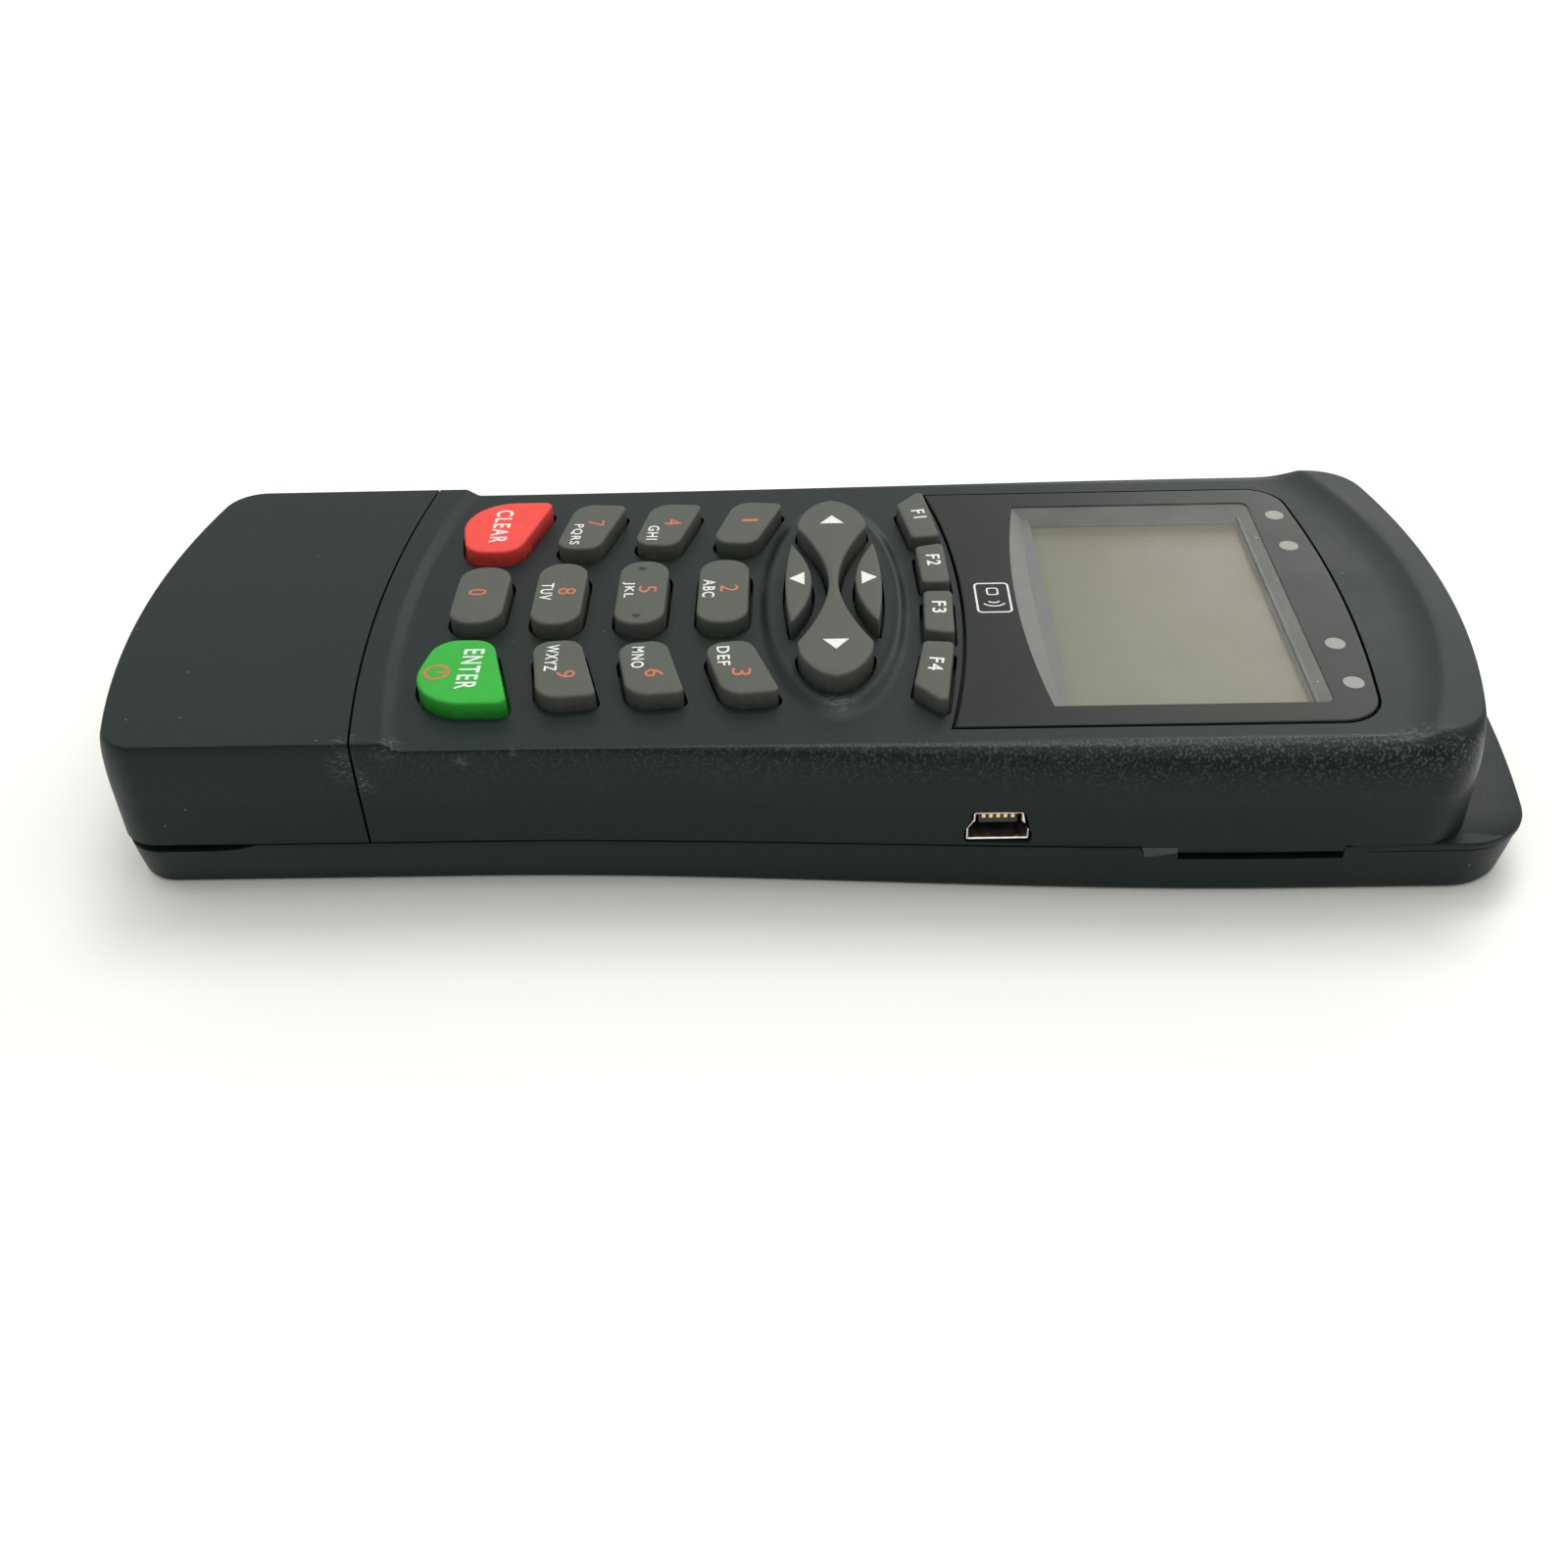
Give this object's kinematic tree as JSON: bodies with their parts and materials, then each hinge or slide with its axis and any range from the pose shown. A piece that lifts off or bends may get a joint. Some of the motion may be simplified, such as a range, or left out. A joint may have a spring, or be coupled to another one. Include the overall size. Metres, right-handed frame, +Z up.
{
  "type": "card payment terminal",
  "caption": "Handheld card terminal with a display under a flat lens, rubber number and navigation keys, a USB socket, card slots at both ends and a battery door underneath.",
  "frame": {"origin": "under the middle of the body, on the surface that it rests on", "axes": "+Y along the length from the keypad end to the display end, +X to the side with the USB socket, +Z up out of the keypad"},
  "size_m": [0.0666, 0.1688, 0.0235],
  "materials": {
    "casing_plastic": "fine moulded texture, coarser on the shoulders",
    "key_rubber": "matte silicone",
    "red_rubber": "matte silicone",
    "green_rubber": "matte silicone",
    "black_plastic": "moulded",
    "flex_film": "polyimide film over copper",
    "circuit_board": "solder mask over glass fibre",
    "gold_contact": "gold plated",
    "steel": "nickel plated",
    "plated_steel": "bright tin plate",
    "chip_package": "moulded epoxy",
    "ivory_plastic": "moulded",
    "cell_sleeve": "printed sleeve",
    "mat_rubber": "silicone sheet",
    "black_film": "printed film",
    "bezel_metal": "satin",
    "lcd_glass": "grey-green reflective polariser",
    "diffuser": "translucent white",
    "frosted_plastic": "frosted clear",
    "led_package": "clear over phosphor",
    "lens": "acrylic with a hard coat, smoked round the window"
  },
  "bodies": {
    "casing": {"top_casing": "casing_plastic", "end_cap": "casing_plastic", "lower_casing": "casing_plastic", "display_lens": "lens", "lens_adhesive_film": "black_film", "lcd_frame": "bezel_metal", "lcd_panel": "lcd_glass", "lcd_backlight": "diffuser", "display_flex": "flex_film", "led_light_pipes": "frosted_plastic", "status_leds": "led_package", "keypad_mat": "mat_rubber", "key_contact_pads": "gold_contact", "main_board": "circuit_board", "board_chips": "chip_package", "board_screws": "steel", "buzzer": "black_plastic", "backup_cell": "steel", "backup_cell_holder": "ivory_plastic", "usb_shell": "plated_steel", "usb_insert": "black_plastic", "front_reader_base": "black_plastic", "front_reader_cover": "black_plastic", "front_card_contacts": "gold_contact", "front_reader_board": "circuit_board", "front_reader_flex": "flex_film", "rear_reader_base": "black_plastic", "rear_reader_cover": "black_plastic", "rear_card_contacts": "gold_contact", "rear_reader_board": "circuit_board", "rear_reader_flex": "flex_film", "module_card_socket": "steel", "batteries": "cell_sleeve", "battery_springs": "steel", "battery_plates": "steel", "casing_screws": "steel"},
    "key_1": {"key_1": "key_rubber"},
    "key_2": {"key_2": "key_rubber"},
    "key_3": {"key_3": "key_rubber"},
    "key_4": {"key_4": "key_rubber"},
    "key_5": {"key_5": "key_rubber"},
    "key_6": {"key_6": "key_rubber"},
    "key_7": {"key_7": "key_rubber"},
    "key_8": {"key_8": "key_rubber"},
    "key_9": {"key_9": "key_rubber"},
    "key_0": {"key_0": "key_rubber"},
    "key_clear": {"key_clear": "red_rubber"},
    "key_enter": {"key_enter": "green_rubber"},
    "key_f1": {"key_f1": "key_rubber"},
    "key_f2": {"key_f2": "key_rubber"},
    "key_f3": {"key_f3": "key_rubber"},
    "key_f4": {"key_f4": "key_rubber"},
    "key_up": {"key_up": "key_rubber"},
    "key_down": {"key_down": "key_rubber"},
    "key_left_right": {"key_left_right": "key_rubber"},
    "battery_door": {"battery_door": "casing_plastic"}
  },
  "joints": [
    {"name": "key_1_press", "type": "slide", "parent": "casing", "child": "key_1", "axis": [0, 0, -1], "range_m": [0, 0.0009], "stiffness_N_per_m": 1200, "springref_m": -0.0004},
    {"name": "key_2_press", "type": "slide", "parent": "casing", "child": "key_2", "axis": [0, 0, -1], "range_m": [0, 0.0009], "stiffness_N_per_m": 1200, "springref_m": -0.0004},
    {"name": "key_3_press", "type": "slide", "parent": "casing", "child": "key_3", "axis": [0, 0, -1], "range_m": [0, 0.0009], "stiffness_N_per_m": 1200, "springref_m": -0.0004},
    {"name": "key_4_press", "type": "slide", "parent": "casing", "child": "key_4", "axis": [0, 0, -1], "range_m": [0, 0.0009], "stiffness_N_per_m": 1200, "springref_m": -0.0004},
    {"name": "key_5_press", "type": "slide", "parent": "casing", "child": "key_5", "axis": [0, 0, -1], "range_m": [0, 0.0009], "stiffness_N_per_m": 1200, "springref_m": -0.0004},
    {"name": "key_6_press", "type": "slide", "parent": "casing", "child": "key_6", "axis": [0, 0, -1], "range_m": [0, 0.0009], "stiffness_N_per_m": 1200, "springref_m": -0.0004},
    {"name": "key_7_press", "type": "slide", "parent": "casing", "child": "key_7", "axis": [0, 0, -1], "range_m": [0, 0.0009], "stiffness_N_per_m": 1200, "springref_m": -0.0004},
    {"name": "key_8_press", "type": "slide", "parent": "casing", "child": "key_8", "axis": [0, 0, -1], "range_m": [0, 0.0009], "stiffness_N_per_m": 1200, "springref_m": -0.0004},
    {"name": "key_9_press", "type": "slide", "parent": "casing", "child": "key_9", "axis": [0, 0, -1], "range_m": [0, 0.0009], "stiffness_N_per_m": 1200, "springref_m": -0.0004},
    {"name": "key_0_press", "type": "slide", "parent": "casing", "child": "key_0", "axis": [0, 0, -1], "range_m": [0, 0.0009], "stiffness_N_per_m": 1200, "springref_m": -0.0004},
    {"name": "key_clear_press", "type": "slide", "parent": "casing", "child": "key_clear", "axis": [0, 0, -1], "range_m": [0, 0.0009], "stiffness_N_per_m": 1200, "springref_m": -0.0004},
    {"name": "key_enter_press", "type": "slide", "parent": "casing", "child": "key_enter", "axis": [0, 0, -1], "range_m": [0, 0.0009], "stiffness_N_per_m": 1200, "springref_m": -0.0004},
    {"name": "key_f1_press", "type": "slide", "parent": "casing", "child": "key_f1", "axis": [0, 0, -1], "range_m": [0, 0.0009], "stiffness_N_per_m": 1200, "springref_m": -0.0004},
    {"name": "key_f2_press", "type": "slide", "parent": "casing", "child": "key_f2", "axis": [0, 0, -1], "range_m": [0, 0.0009], "stiffness_N_per_m": 1200, "springref_m": -0.0004},
    {"name": "key_f3_press", "type": "slide", "parent": "casing", "child": "key_f3", "axis": [0, 0, -1], "range_m": [0, 0.0009], "stiffness_N_per_m": 1200, "springref_m": -0.0004},
    {"name": "key_f4_press", "type": "slide", "parent": "casing", "child": "key_f4", "axis": [0, 0, -1], "range_m": [0, 0.0009], "stiffness_N_per_m": 1200, "springref_m": -0.0004},
    {"name": "key_up_press", "type": "slide", "parent": "casing", "child": "key_up", "axis": [0, 0, -1], "range_m": [0, 0.0009], "stiffness_N_per_m": 1200, "springref_m": -0.0004},
    {"name": "key_down_press", "type": "slide", "parent": "casing", "child": "key_down", "axis": [0, 0, -1], "range_m": [0, 0.0009], "stiffness_N_per_m": 1200, "springref_m": -0.0004},
    {"name": "left_right_tilt", "type": "hinge", "parent": "casing", "child": "key_left_right", "pos_m": [0, 0.00295, 0.0176], "axis": [0, 1, 0], "range_deg": [-3, 3], "stiffness_Nm_per_rad": 0.4},
    {"name": "battery_door_hinge", "type": "hinge", "parent": "casing", "child": "battery_door", "pos_m": [0, 0.027, 0.00015], "axis": [1, 0, 0], "range_deg": [0, 75]}
  ]
}
